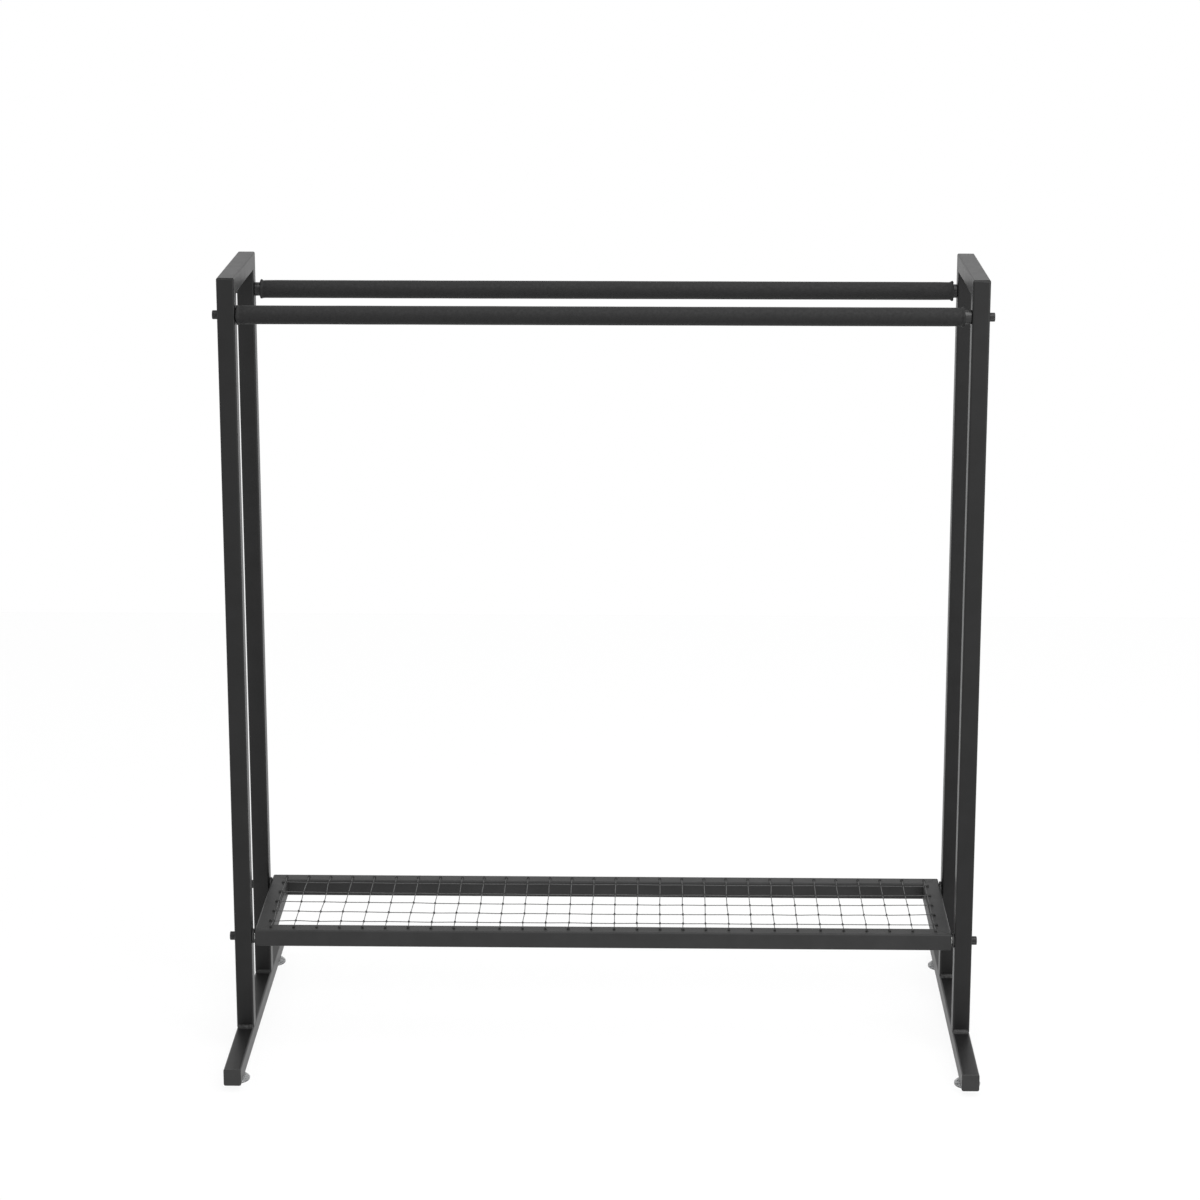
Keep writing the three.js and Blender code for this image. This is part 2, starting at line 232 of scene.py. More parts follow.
# Turns an outline of (place along the axis, radius) points into a round piece
def turnPiece(outline, centre, along, steps):
    outward = axes[2] if along == 0 else axes[0]
    points = [centre + axes[along] * place + outward * radius for place, radius in outline]
    piece = addPoint(points[0])
    for here, there in zip(points, points[1:]):
        extrudePoint(there - here)
    takeAll()
    bpy.ops.mesh.spin(steps=steps, angle=math.tau, center=centre, axis=axes[along])
    mergeDoubles()
    turnOutwards()
    endEdit()
    return piece


# Outline of a round sleeve with softened ends
def sleeveOutline(length, bore, radius, edge):
    return [
        (0, bore), (0, radius - edge), (edge, radius), (length - edge, radius),
        (length, radius - edge), (length, bore), (0, bore),
    ]


# Outline points of a rounded corner, from one angle to another about its middle
def arcPoints(place, radius, size, start, end, steps):
    turns = [start + (end - start) * step / steps for step in range(steps + 1)]
    return [(place + size * math.sin(turn), radius + size * math.cos(turn)) for turn in turns]


# Finishes: a principled shader under patterns of its own

def grey(value, blue=0.0):
    return (value, value, value + blue)


orangePeel = (("Noise", 620, 2, 0.00003), ("Noise", 3200, 1, 0.000006))

# tint: pattern scale, detail, dark and light colour; gloss: pattern scale, detail, lowest and highest
# roughness; each bump: pattern, scale, detail, height
lookValues = {
    # satin powder coat: an even orange peel, finer grain in it and faint cloudiness
    "coat": {
        "name": "satinBlackCoat", "slot": "black_coat", "color": grey(0.006), "roughness": 0.41,
        "constants": {"Specular IOR Level": 0.29},
        "tint": (38, 3, grey(0.005), grey(0.0072, 0.0002)),
        "gloss": (70, 3, 0.395, 0.425),
        "bumps": orangePeel,
    },
    # the shelf's tubes: the same coat with painted light, its colour a little lighter grey, and a duller
    # gloss
    "shelf": {
        "name": "shelfBlackCoat", "slot": "black_coat", "color": grey(0.023), "roughness": 0.48,
        "constants": {"Specular IOR Level": 0.2},
        "tint": (38, 3, grey(0.0205), grey(0.0255, 0.0003)),
        "gloss": (70, 3, 0.46, 0.5),
        "bumps": orangePeel,
    },
    # the same coat lies smoother on the drawn tube of the rails
    "rail": {
        "name": "railBlackCoat", "slot": "black_coat", "color": grey(0.009), "roughness": 0.3,
        "constants": {"Specular IOR Level": 0.42},
        "tint": (60, 3, grey(0.0075), grey(0.0105, 0.0003)),
        "gloss": (120, 3, 0.27, 0.33),
        "bumps": (("Noise", 700, 2, 0.000015),),
    },
    # closed-cell foam: matt, pitted with small cells, a little dusty
    "foam": {
        "name": "blackFoam", "slot": "black_foam", "color": grey(0.009), "roughness": 0.68,
        "constants": {"Specular IOR Level": 0.25, "Sheen Weight": 0.02},
        "tint": (900, 4, grey(0.0072), grey(0.0108, 0.0003)),
        "gloss": (300, 2, 0.64, 0.78),
        "bumps": (("Voronoi", 1300, 0, 0.00009), ("Noise", 420, 3, 0.00004)),
    },
    # black oxide on the bolts
    "screw": {
        "name": "blackOxide", "slot": "black_screw", "color": grey(0.014), "roughness": 0.36,
        "constants": {"Metallic": 0.35},
        "tint": (420, 3, grey(0.010), grey(0.022)),
        "gloss": (900, 4, 0.28, 0.44),
        "bumps": (("Noise", 2600, 2, 0.000005),),
    },
    # zinc plate with its spangled sheen
    "zinc": {
        "name": "zincPlate", "slot": "zinc", "color": (0.62, 0.63, 0.62), "roughness": 0.3,
        "constants": {"Metallic": 1.0},
        "tint": (300, 4, (0.5, 0.51, 0.5), (0.68, 0.69, 0.67)),
        "gloss": (1100, 3, 0.24, 0.4),
        "bumps": (("Noise", 2400, 2, 0.000004),),
    },
    # moulded black plastic of the caps and spacers, with a fine sparked grain
    "plastic": {
        "name": "grainedBlackPlastic", "slot": "black_plastic", "color": grey(0.017), "roughness": 0.5,
        "constants": {"Specular IOR Level": 0.4},
        "tint": (90, 2, grey(0.015), grey(0.019)),
        "gloss": (700, 3, 0.44, 0.56),
        "bumps": (("Voronoi", 2600, 0, 0.000014),),
    },
    # clear moulded plastic of the foot pads, with painted shade: its colour is painted dark low down,
    # along the rim that stands on the floor
    "milky": {
        "name": "milkyPlastic", "slot": "clear_plastic", "color": grey(0.5), "roughness": 0.14,
        "constants": {"IOR": 1.46, "Transmission Weight": 0.7},
        "tint": (150, 2, grey(0.08), (0.5, 0.51, 0.515)),
        "paintedShadeUpTo": 0.0007,     # heights above the floor
        "paintedShadeGoneFrom": 0.0024,
        "gloss": (240, 2, 0.11, 0.18),
        "bumps": (("Noise", 420, 2, 0.00001),),
    },
    # the net's cord: dark grey yarn with fine fibres
    "cord": {
        "name": "netYarn", "slot": "net_cord", "color": grey(0.06), "roughness": 0.62,
        "constants": {"Specular IOR Level": 0.35, "Sheen Weight": 0.1},
        "tint": (900, 3, grey(0.048), grey(0.072)),
        "gloss": (1500, 2, 0.55, 0.7),
        "bumps": (("Noise", 5200, 2, 0.00003),),
    },
    # the same yarn where it is drawn tight into knots, with painted shade: its colour is painted darker
    # there
    "knot": {
        "name": "netYarnKnotShade", "slot": "net_cord", "color": grey(0.028), "roughness": 0.66,
        "constants": {"Specular IOR Level": 0.3},
        "tint": (900, 3, grey(0.02), grey(0.036)),
        "gloss": (1500, 2, 0.6, 0.74),
        "bumps": (("Noise", 4200, 2, 0.00005),),
    },
}

# the part of a pattern's range that a tint or gloss is spread over
patternLow = 0.3
patternHigh = 0.7


def newLook(values):
    material = bpy.data.materials.new(values["name"])
    material.use_nodes = True
    shader = material.node_tree.nodes["Principled BSDF"]
    shader.inputs["Base Color"].default_value = (*values["color"], 1)
    shader.inputs["Roughness"].default_value = values["roughness"]
    for socket, value in values["constants"].items():
        shader.inputs[socket].default_value = value
    return {"material": material, "slot": values["slot"], "shader": shader}


def addPattern(look, kind, scale, detail):
    tree = look["material"].node_tree
    place = tree.nodes.get("place") or tree.nodes.new("ShaderNodeTexCoord")
    place.name = "place"
    pattern = tree.nodes.new("ShaderNodeTex" + kind)
    pattern.inputs["Scale"].default_value = scale
    pattern.inputs["Detail"].default_value = detail
    tree.links.new(place.outputs["Object"], pattern.inputs["Vector"])
    return pattern.outputs[0]


def shadeGloss(look, pattern, low, high):
    tree = look["material"].node_tree
    steps = tree.nodes.new("ShaderNodeMapRange")
    steps.inputs["From Min"].default_value = patternLow
    steps.inputs["From Max"].default_value = patternHigh
    steps.inputs["To Min"].default_value = low
    steps.inputs["To Max"].default_value = high
    tree.links.new(pattern, steps.inputs["Value"])
    tree.links.new(steps.outputs["Result"], look["shader"].inputs["Roughness"])


def shadeColor(look, pattern, dark, light):
    tree = look["material"].node_tree
    ramp = tree.nodes.new("ShaderNodeValToRGB")
    ramp.color_ramp.elements[0].position = patternLow
    ramp.color_ramp.elements[1].position = patternHigh
    ramp.color_ramp.elements[0].color = (*dark, 1)
    ramp.color_ramp.elements[1].color = (*light, 1)
    tree.links.new(pattern, ramp.inputs["Fac"])
    tree.links.new(ramp.outputs["Color"], look["shader"].inputs["Base Color"])


# Goes from zero to one between two heights above the floor, with an edge that the pattern makes uneven
def addHeight(look, uneven, low, high):
    tree = look["material"].node_tree
    split = tree.nodes.new("ShaderNodeSeparateXYZ")
    lift = tree.nodes.new("ShaderNodeMath")
    lift.operation = "MULTIPLY_ADD"
    lift.inputs[1].default_value = (high - low) / 2
    height = tree.nodes.new("ShaderNodeMapRange")
    height.inputs["From Min"].default_value = low
    height.inputs["From Max"].default_value = high
    tree.links.new(tree.nodes["place"].outputs["Object"], split.inputs["Vector"])
    tree.links.new(uneven, lift.inputs[0])
    tree.links.new(split.outputs["Z"], lift.inputs[2])
    tree.links.new(lift.outputs[0], height.inputs["Value"])
    return height.outputs["Result"]


# Bumps are stacked: each takes the last one's normal
def addBump(look, pattern, height):
    tree = look["material"].node_tree
    bump = tree.nodes.new("ShaderNodeBump")
    bump.inputs["Distance"].default_value = height
    tree.links.new(pattern, bump.inputs["Height"])
    normal = look["shader"].inputs["Normal"]
    if normal.is_linked:
        tree.links.new(normal.links[0].from_socket, bump.inputs["Normal"])
    tree.links.new(bump.outputs["Normal"], normal)


def makeLook(values):
    look = newLook(values)
    scale, detail, dark, light = values["tint"]
    pattern = addPattern(look, "Noise", scale, detail)
    # painted shade: the pad's colour goes from dark to light between two heights above the floor
    if "paintedShadeGoneFrom" in values:
        pattern = addHeight(look, pattern, values["paintedShadeUpTo"], values["paintedShadeGoneFrom"])
    shadeColor(look, pattern, dark, light)
    scale, detail, low, high = values["gloss"]
    shadeGloss(look, addPattern(look, "Noise", scale, detail), low, high)
    for kind, scale, detail, height in values["bumps"]:
        addBump(look, addPattern(look, kind, scale, detail), height)
    return look


looks = {name: makeLook(values) for name, values in lookValues.items()}
print("materials made:", len(looks))


# Shades a finished piece, gives it its name, finish and body, and hides the nodes it stands for
def dress(piece, name, look, body, *replaced, crease=30, evenFlats=False):
    selectOnly(piece)
    fixPlace()
    bpy.ops.object.shade_smooth_by_angle(angle=math.radians(crease))
    if evenFlats:
        applyModifier(piece, "WEIGHTED_NORMAL", keep_sharp=True, weight=80)
    piece.name = name
    piece.data.name = name
    piece.data.materials.clear()
    piece.data.materials.append(looks[look]["material"])
    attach(piece, body)
    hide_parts(*replaced)


# The lowest and highest corner of a node's box, and its middle
def boxOf(node):
    low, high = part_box(node)
    return low, high, (low + high) / 2


# Square tube, hollow, with round long edges

tubeValues = {
    "wall": 0.0015,
    "outerShare": 0.9,      # share of the wall's depth that counts as the outside when edges are picked
    "corner": 0.0022,       # outside radius of the long edges
    "cornerSteps": 6,
    "endEdge": 0.00035,     # softened edge of a cut end, seen as a fine line at a seam
    "hoopEdge": 0.0004,     # the same at the top of a hoop
    "endEdgeSteps": 2,
    "overrun": 0.005,       # added to a tube before its mitre is cut
    "groundWeld": 0.0033,   # radius that a mitre's outer corner is ground to
    "groundWeldSteps": 6,
}


def onTubeFace(point, low, high, along):
    centre = (low + high) / 2
    half = (high - low) / 2
    depths = [half[i] - abs(point[i] - centre[i]) for i in range(3) if i != along]
    return min(depths) < tubeValues["wall"] * tubeValues["outerShare"]


# cuts holds (point, outward normal) for each end; a mitred end's outer corner may be ground round
def makeTube(low, high, along, cuts, corners=(), endEdge=tubeValues["endEdge"]):
    tube = addBlock(low, high)
    startEdit(tube)
    pick(tube, lambda edge: abs(edgeWay(edge)[along]) > aligned, "EDGE")
    roundEdges(tubeValues["corner"], tubeValues["cornerSteps"])
    pick(tube, lambda face: abs(face.normal[along]) > aligned, "FACE")
    bpy.ops.mesh.delete(type="FACE")
    endEdit()
    applyModifier(
        tube, "SOLIDIFY", thickness=tubeValues["wall"], offset=-1, use_even_offset=True, use_rim=False
    )
    startEdit(tube)
    for point, outward in cuts:
        if abs(outward[along]) < aligned:
            cutOff(point, outward, fill=False)
    middle = ((low + high) / 2)[along]
    for end in (-1, 1):
        pick(tube, lambda edge: edge.is_boundary and (edgeMiddle(edge)[along] - middle) * end > 0, "EDGE")
        bpy.ops.mesh.bridge_edge_loops()
    turnOutwards()
    radius = tubeValues["groundWeld"]
    for corner, first, second in corners:
        for step in range(1, tubeValues["groundWeldSteps"]):
            turn = quarter * step / tubeValues["groundWeldSteps"]
            outward = first * math.cos(turn) + second * math.sin(turn)
            cutOff(corner - (first + second) * radius + outward * radius, outward)
    for point, outward in cuts:
        unit = outward.normalized()

        def onOuterRim(edge):
            ends = [vert.co for vert in edge.verts]
            onCut = all(abs((place - point).dot(unit)) < samePoint for place in ends)
            return onCut and all(onTubeFace(place, low, high, along) for place in ends)

        pick(tube, onOuterRim, "EDGE")
        roundEdges(endEdge, tubeValues["endEdgeSteps"], clamp_overlap=True)
    endEdit()
    return tube


# Posts and top bars, mitred into two hoops

postValues = {
    "boltHole": 0.0033,     # radius
    "boltHoleSteps": 24,
    "drill": 0.04,          # long enough for both walls
    "seam": 0.00002,        # left between mitred ends
    "weldLine": 0.00052,    # radius of the line that the weld leaves on an outer corner
    "weldLineLength": 0.024,
    "weldLineSteps": 16,
}


def cutWeldLine(tube, corner, first, second):
    place = corner - (first + second) * tubeValues["groundWeld"] * (1 - math.cos(quarter / 2))
    length, steps = postValues["weldLineLength"], postValues["weldLineSteps"]
    combine(tube, addRod(place, 0, postValues["weldLine"], length, steps))


def makeHoops():
    for side in sides:
        barLow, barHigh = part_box(side + "_top_bar")
        corners = {}
        for row, sign in zip(rows, (-1, 1)):
            postLow, postHigh, postMiddle = boxOf(f"{side}_{row}_post")
            outer = Vector((postMiddle.x, postLow.y if sign < 0 else postHigh.y, barHigh.z))
            mitre = Vector((0, -sign, 1)).normalized()
            corners[row] = (outer, axes[1] * sign, axes[2])
            foot = Vector((postMiddle.x, postMiddle.y, postLow.z))
            seam = mitre * postValues["seam"] / 2
            high = postHigh + axes[2] * tubeValues["overrun"]
            cuts = [(outer - seam, mitre), (foot, -axes[2])]
            post = makeTube(postLow, high, 2, cuts, [corners[row]], tubeValues["hoopEdge"])
            for bolt in ("rail_bolt", "shelf_bolt"):
                boltMiddle = boxOf(f"{side}_{row}_{bolt}")[2]
                place = Vector((postMiddle.x, boltMiddle.y, boltMiddle.z))
                drill, steps = postValues["drill"], postValues["boltHoleSteps"]
                combine(post, addRod(place, 0, postValues["boltHole"], drill, steps))
            cutWeldLine(post, *corners[row])
            dress(post, f"{side}{row.title()}Post", "coat", "stand", f"{side}_{row}_post", evenFlats=True)
        cuts = []
        for row, sign in zip(rows, (-1, 1)):
            mitre = Vector((0, sign, -1)).normalized()
            cuts.append((corners[row][0] - mitre * postValues["seam"] / 2, mitre))
        reach = axes[1] * tubeValues["overrun"]
        bar = makeTube(barLow - reach, barHigh + reach, 1, cuts, corners.values(), tubeValues["hoopEdge"])
        for row in rows:
            cutWeldLine(bar, *corners[row])
        dress(bar, side + "TopBar", "coat", "stand", side + "_top_bar", evenFlats=True)


makeHoops()
print("posts and top bars made")


# Foot beams

beamValues = {
    "nutHole": 0.0059,      # radius of the hole for the threaded foot nut
    "nutHoleSteps": 32,
    "drill": 0.008,         # long enough for one wall
}


def makeBeams():
    for side in sides:
        low, high, middle = boxOf(side + "_foot_beam")
        cuts = [
            (Vector((middle.x, low.y, middle.z)), -axes[1]),
            (Vector((middle.x, high.y, middle.z)), axes[1]),
        ]
        beam = makeTube(low, high, 1, cuts)
        for row in rows:
            nut = boxOf(f"{side}_{row}_foot_nut")[2]
            place = Vector((nut.x, nut.y, low.z))
            drill, steps = beamValues["drill"], beamValues["nutHoleSteps"]
            combine(beam, addRod(place, 2, beamValues["nutHole"], drill, steps))
        dress(beam, side + "FootBeam", "coat", "stand", side + "_foot_beam", evenFlats=True)


makeBeams()
print("foot beams made")


# Weld beads where the posts stand on the beams

weldValues = {
    "leg": 0.0040,          # how far the bead reaches up the post and along the beam
    "sink": 0.0030,         # the bead is a slice of a thicker round
    "inset": 0.0013,        # from the tube's side faces
    "ripples": 9,
    "ripple": 0.00006,
    "rippleShape": ((0.15, 0.35), (0.45, 1.0), (0.7, 0.85), (0.95, 0.0)),   # along it, and its height
    "endDrop": 3,           # the ends lie this many ripple heights lower
    "unevenness": 0.0007,
    "unevenSize": 0.004,
    "bite": 0.0004,         # sunk into both tubes
    "facets": 40,
}


def makeWelds():
    reach = weldValues["leg"] + weldValues["sink"]
    radius = math.hypot(reach, weldValues["sink"])
    endRadius = radius - weldValues["ripple"] * weldValues["endDrop"]
    for side in sides:
        beamTop = boxOf(side + "_foot_beam")[1].z
        for row in rows:
            low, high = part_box(f"{side}_{row}_post")
            start = low.x + weldValues["inset"]
            length = high.x - low.x - 2 * weldValues["inset"]
            outline = [(0, 0), (0, endRadius)]
            for ripple in range(weldValues["ripples"]):
                for share, rise in weldValues["rippleShape"]:
                    place = length * (ripple + share) / weldValues["ripples"]
                    outline.append((place, radius + weldValues["ripple"] * (rise - 1)))
            outline += [(length, endRadius), (length, 0)]
            for face, facing in ((low.y, -1), (high.y, 1)):
                sunk = axes[1] * facing * weldValues["sink"]
                centre = Vector((start, face, beamTop - weldValues["sink"])) - sunk
                bead = turnPiece(outline, centre, 0, weldValues["facets"])
                roughen(bead, weldValues["unevenSize"], weldValues["unevenness"])
                startEdit(bead)
                cutOff(Vector((0, face - facing * weldValues["bite"], 0)), axes[1] * -facing)
                cutOff(Vector((0, 0, beamTop - weldValues["bite"])), -axes[2])
                endEdit()
                end = "Front" if facing < 0 else "Rear"
                dress(bead, f"{side}{row.title()}PostWeld{end}", "coat", "stand", crease=50)


makeWelds()
print("weld beads made")


# Caps in the ends of the foot beams

capValues = {
    "flange": 0.002,
    "corner": 0.0022,
    "cornerSteps": 6,
    "edge": 0.0007,
    "edgeSteps": 4,
    "plugInset": 0.0018,
    "plugEdge": 0.0006,
}


def makeCaps():
    for side in sides:
        for row, sign in zip(rows, (-1, 1)):
            node = f"{side}_{row}_beam_cap"
            low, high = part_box(node)
            plug = high.y - low.y - capValues["flange"]
            flangeLow = Vector((low.x, low.y if sign < 0 else high.y - capValues["flange"], low.z))
            flangeHigh = Vector((high.x, flangeLow.y + capValues["flange"], high.z))
            cap = addBlock(flangeLow, flangeHigh)
            startEdit(cap)
            pick(cap, lambda edge: abs(edgeWay(edge).y) > aligned, "EDGE")
            roundEdges(capValues["corner"], capValues["cornerSteps"])
            pick(cap, lambda face: face.normal.y * sign < -aligned, "FACE")
            bpy.ops.mesh.inset(thickness=capValues["plugInset"])
            extrudeFace(axes[1] * -sign * plug)
            bpy.ops.mesh.inset(thickness=capValues["plugEdge"])
            outerFace = low.y if sign < 0 else high.y

            def onOuterFace(edge):
                return all(abs(vert.co.y - outerFace) < samePoint for vert in edge.verts)

            pick(cap, onOuterFace, "EDGE")
            roundEdges(capValues["edge"], capValues["edgeSteps"])
            endEdit()
            dress(cap, f"{side}{row.title()}BeamCap", "plastic", "stand", node, evenFlats=True)


makeCaps()
print("beam caps made")


# Levelling feet: pad, threaded stud and the nut in the beam

footValues = {
    "crown": 0.008,         # radius of the pad's flat top
    "crownSteps": 14,
    "rimHeight": 0.0028,
    "rimEdge": 0.0004,
    "lowEdge": 0.0008,
    "lowEdgeSteps": 5,
    "mouthEdge": 0.0003,
    "mouthEdgeSteps": 3,
    "padFacets": 64,
    "floor": 0.002,         # plastic under the stud's collar
    "lip": 0.0014,          # plastic over it
    "socket": 0.0057,
    "mouth": 0.0044,
    "collar": 0.0055,
    "collarHeight": 0.003,
    "collarEdge": 0.0003,
    "collarFacets": 40,
    "threadCore": 0.0034,
    "threadDepth": 0.0005,
    "threadPitch": 0.00125,
    "threadShape": ((0, 0.12), (1, 0.4), (0, 0.1), (-1, 0.38)),     # core, flank, crest and flank
    "threadSteps": 24,
}


def makePad(node, name, body):
    low, high, middle = boxOf(node)
    rim = (high.x - low.x) / 2
    top = high.z - low.z
    rimHeight, rimEdge = footValues["rimHeight"], footValues["rimEdge"]
    edge = footValues["lowEdge"]
    outline = [(0, 0)] + arcPoints(edge, rim - edge, edge, -quarter, 0, footValues["lowEdgeSteps"])
    outline.append((rimHeight - rimEdge, rim))
    for step in range(footValues["crownSteps"] + 1):
        share = step / footValues["crownSteps"]
        across = rim - rimEdge + (footValues["crown"] - rim + rimEdge) * share
        outline.append((rimHeight + (top - rimHeight) * math.sin(share * quarter), across))
    mouth = footValues["mouth"]
    edge = footValues["mouthEdge"]
    outline += arcPoints(top - edge, mouth + edge, edge, quarter, math.pi, footValues["mouthEdgeSteps"])
    under = top - footValues["lip"]
    outline += [(under, mouth), (under, footValues["socket"])]
    outline += [(footValues["floor"], footValues["socket"]), (footValues["floor"], 0)]
    pad = turnPiece(outline, Vector((middle.x, middle.y, low.z)), 2, footValues["padFacets"])
    dress(pad, name, "milky", body, node, crease=40)


def makeStud(node, name, body):
    low, high, middle = boxOf(node)
    base = Vector((middle.x, middle.y, low.z))
    pitch = footValues["threadPitch"]
    stud = addPoint((footValues["threadCore"], 0, 0))
    for outward, share in footValues["threadShape"]:
        extrudePoint((outward * footValues["threadDepth"], 0, share * pitch))
    endEdit()
    turns = math.ceil((high.z - low.z) / pitch) + 2
    steps = footValues["threadSteps"]
    applyModifier(
        stud, "SCREW", axis="Z", angle=math.tau, screw_offset=pitch, iterations=turns,
        steps=steps, render_steps=steps,
    )
    startEdit(stud)
    mergeDoubles()
    takeAll()
    bpy.ops.transform.translate(value=base - axes[2] * pitch)
    cutOff(base + axes[2] * footValues["collarHeight"] / 2, -axes[2])
    cutOff(Vector((0, 0, high.z)), axes[2])
    turnOutwards()
    endEdit()
    tall = footValues["collarHeight"]
    wide = footValues["collar"]
    edge = footValues["collarEdge"]
    outline = [(0, 0), (0, wide - edge), (edge, wide), (tall - edge, wide), (tall, wide - edge), (tall, 0)]
    combine(stud, turnPiece(outline, base, 2, footValues["collarFacets"]), "UNION")
    startEdit(stud)
    mergeDoubles()
    endEdit()
    dress(stud, name, "zinc", body, node, crease=35)


# A flanged threaded sleeve; the flange is at the low end of its axis or at the high end
nutValues = {
    "foot_nut": {"bore": 0.004, "body": 0.00575, "flange": 0.0075, "rim": 0.001},
    "shelf_nut": {"bore": 0.003, "body": 0.0045, "flange": 0.006, "rim": 0.001},
    "insert": {"bore": 0.003, "body": 0.0066, "flange": 0.0066, "rim": 0.001},
    "edge": 0.0003,
    "facets": 40,
}


def makeNut(node, name, kind, along, flangeFirst):
    low, high, middle = boxOf(node)
    sizes = nutValues[kind]
    edge = nutValues["edge"]
    length = (high - low)[along]
    outline = [
        (0, sizes["bore"]), (0, sizes["flange"] - edge), (edge, sizes["flange"]),
        (sizes["rim"], sizes["flange"]), (sizes["rim"], sizes["body"]),
        (length - edge, sizes["body"]), (length, sizes["body"] - edge), (length, sizes["bore"]),
        (0, sizes["bore"]),
    ]
    if not flangeFirst:
        outline = [(length - place, radius) for place, radius in outline]
    start = middle.copy()
    start[along] = low[along]
    nut = turnPiece(outline, start, along, nutValues["facets"])
    dress(nut, name, "zinc", "stand", node, crease=35)


def makeFeet():
    for side in sides:
        outside = side == "left"    # the flanges of the nuts that lie along X face outwards
        for row in rows:
            corner = f"{side}_{row}"
            name = side + row.title()
            makePad(corner + "_foot_pad", name + "FootPad", corner + "_pad")
            makeStud(corner + "_foot_stud", name + "FootStud", corner + "_stud")
            makeNut(corner + "_foot_nut", name + "FootNut", "foot_nut", 2, True)
            shelfName = f"shelf{side.title()}{row.title()}Nut"
            makeNut(f"shelf_{corner}_nut", shelfName, "shelf_nut", 0, outside)
            insertName = f"{row}Rail{side.title()}Insert"
            makeNut(f"{row}_rail_{side}_insert", insertName, "insert", 0, outside)


makeFeet()
print("feet and threaded nuts made")


# Rails and their foam sleeves

railValues = {
    "wall": 0.0012,
    "edge": 0.0004,
    "bore": 0.0082,         # inside radius of a sleeve
    "foam": 0.0105,         # outside radius of a sleeve
    # where the foam was cut its lip curls outwards: (distance from the end, radius)
    "lipShape": (
        (0.0004, 0.0082), (0, 0.009025), (0.0001, 0.00985), (0.0005, 0.0109225),
        (0.0011, 0.0114), (0.0018, 0.0113), (0.0025, 0.011), (0.0032, 0.0106),
        (0.004, 0.0103), (0.005, 0.0104), (0.006, 0.0105),
    ),
    "ringPitch": 0.012,
    "swell": 0.0006,        # how much the foam's surface wanders along the rail
    "swellLength": 0.05,
    "swellShare": 0.3,
    "crumple": 0.0022,      # and at its cut lip
    "crumpleLength": 0.0045,
    "crumpleReach": 0.0096,     # from an end
    "facets": 72,
    "tubeFacets": 64,
}


def makeRail(row):
    node = row + "_rail_tube"
    low, high, middle = boxOf(node)
    radius = (high.z - low.z) / 2
    outline = sleeveOutline(high.x - low.x, radius - railValues["wall"], radius, railValues["edge"])
    rail = turnPiece(outline, Vector((low.x, middle.y, middle.z)), 0, railValues["tubeFacets"])
    dress(rail, row + "RailTube", "rail", "stand", node)


# Vertex groups that let the foam swell everywhere outside and crumple near its cut ends
def groupFoam(sleeve, low, high, centre):
    swell = sleeve.vertex_groups.new(name="swell")
    crumple = sleeve.vertex_groups.new(name="crumple")
    for vert in sleeve.data.vertices:
        fromAxis = math.hypot(vert.co.y - centre.y, vert.co.z - centre.z)
        if fromAxis < railValues["bore"] + nearPoint:
            continue
        fromEnd = min(vert.co.x - low.x, high.x - vert.co.x)
        nearEnd = max(0, 1 - fromEnd / railValues["crumpleReach"])
        swell.add([vert.index], railValues["swellShare"] * (1 - nearEnd), "REPLACE")
        crumple.add([vert.index], nearEnd, "REPLACE")


def makeSleeve(row):
    node = row + "_rail_sleeve"
    low, high, middle = boxOf(node)
    length = high.x - low.x
    start = list(railValues["lipShape"])
    reach = start[-1][0]
    rings = round((length - 2 * reach) / railValues["ringPitch"])
    places = [reach + (length - 2 * reach) * ring / rings for ring in range(1, rings)]
    body = [(place, railValues["foam"]) for place in places]
    end = [(length - place, radius) for place, radius in reversed(start)]
    outline = start + body + end + [start[0]]
    centre = Vector((low.x, middle.y, middle.z))
    sleeve = turnPiece(outline, centre, 0, railValues["facets"])
    groupFoam(sleeve, low, high, middle)
    roughen(sleeve, railValues["swellLength"], railValues["swell"], "swell")
    roughen(sleeve, railValues["crumpleLength"], railValues["crumple"], "crumple")
    dress(sleeve, row + "RailSleeve", "foam", "stand", node, crease=60)


for row in rows:
    makeRail(row)
    makeSleeve(row)
print("rails and foam sleeves made")


# Socket head bolts, modelled once and copied

boltValues = {
    "head": 0.005,
    "headHeight": 0.006,
    "headEdge": 0.0006,
    "headEdgeSteps": 4,
    "knurlInset": 0.00012,
    "knurlDepth": 0.00014,
    "shank": 0.003,
    "tipEdge": 0.0008,
    "socket": 0.0029,       # to the corners of the hexagon
    "socketDepth": 0.003,
    "overrun": 0.001,       # the socket's cutter stands this far out of the head
    "facets": 48,
}


# The bolt points along +X with the underside of its head at zero
def makeBolt(length):
    tall = boltValues["headHeight"]
    bolt = addRod(axes[0] * -tall / 2, 0, boltValues["head"], tall, boltValues["facets"])
    startEdit(bolt)
    pick(bolt, lambda face: face.normal.x > aligned, "FACE")
    bpy.ops.mesh.inset(thickness=boltValues["head"] - boltValues["shank"])
    extrudeFace(axes[0] * (length - boltValues["tipEdge"]))
    extrudeFace(axes[0] * boltValues["tipEdge"])
    narrow = 1 - boltValues["tipEdge"] / boltValues["shank"]
    bpy.ops.transform.resize(value=(1, narrow, narrow))

    def onHeadRim(edge):
        return all(abs(vert.co.x + tall) < samePoint for vert in edge.verts)

    pick(bolt, onHeadRim, "EDGE")
    roundEdges(boltValues["headEdge"], boltValues["headEdgeSteps"])

    def onHeadSide(face):
        return abs(face.normal.x) < 1 - aligned and face.calc_center_median().x < 0

    pick(bolt, onHeadSide, "FACE")
    bpy.ops.mesh.inset(
        thickness=boltValues["knurlInset"], depth=-boltValues["knurlDepth"], use_individual=True
    )
    endEdit()
    deep = boltValues["socketDepth"]
    overrun = boltValues["overrun"]
    hexagon = addRod(axes[0] * ((deep - overrun) / 2 - tall), 0, boltValues["socket"], deep + overrun, 6)
    combine(bolt, hexagon)
    return bolt


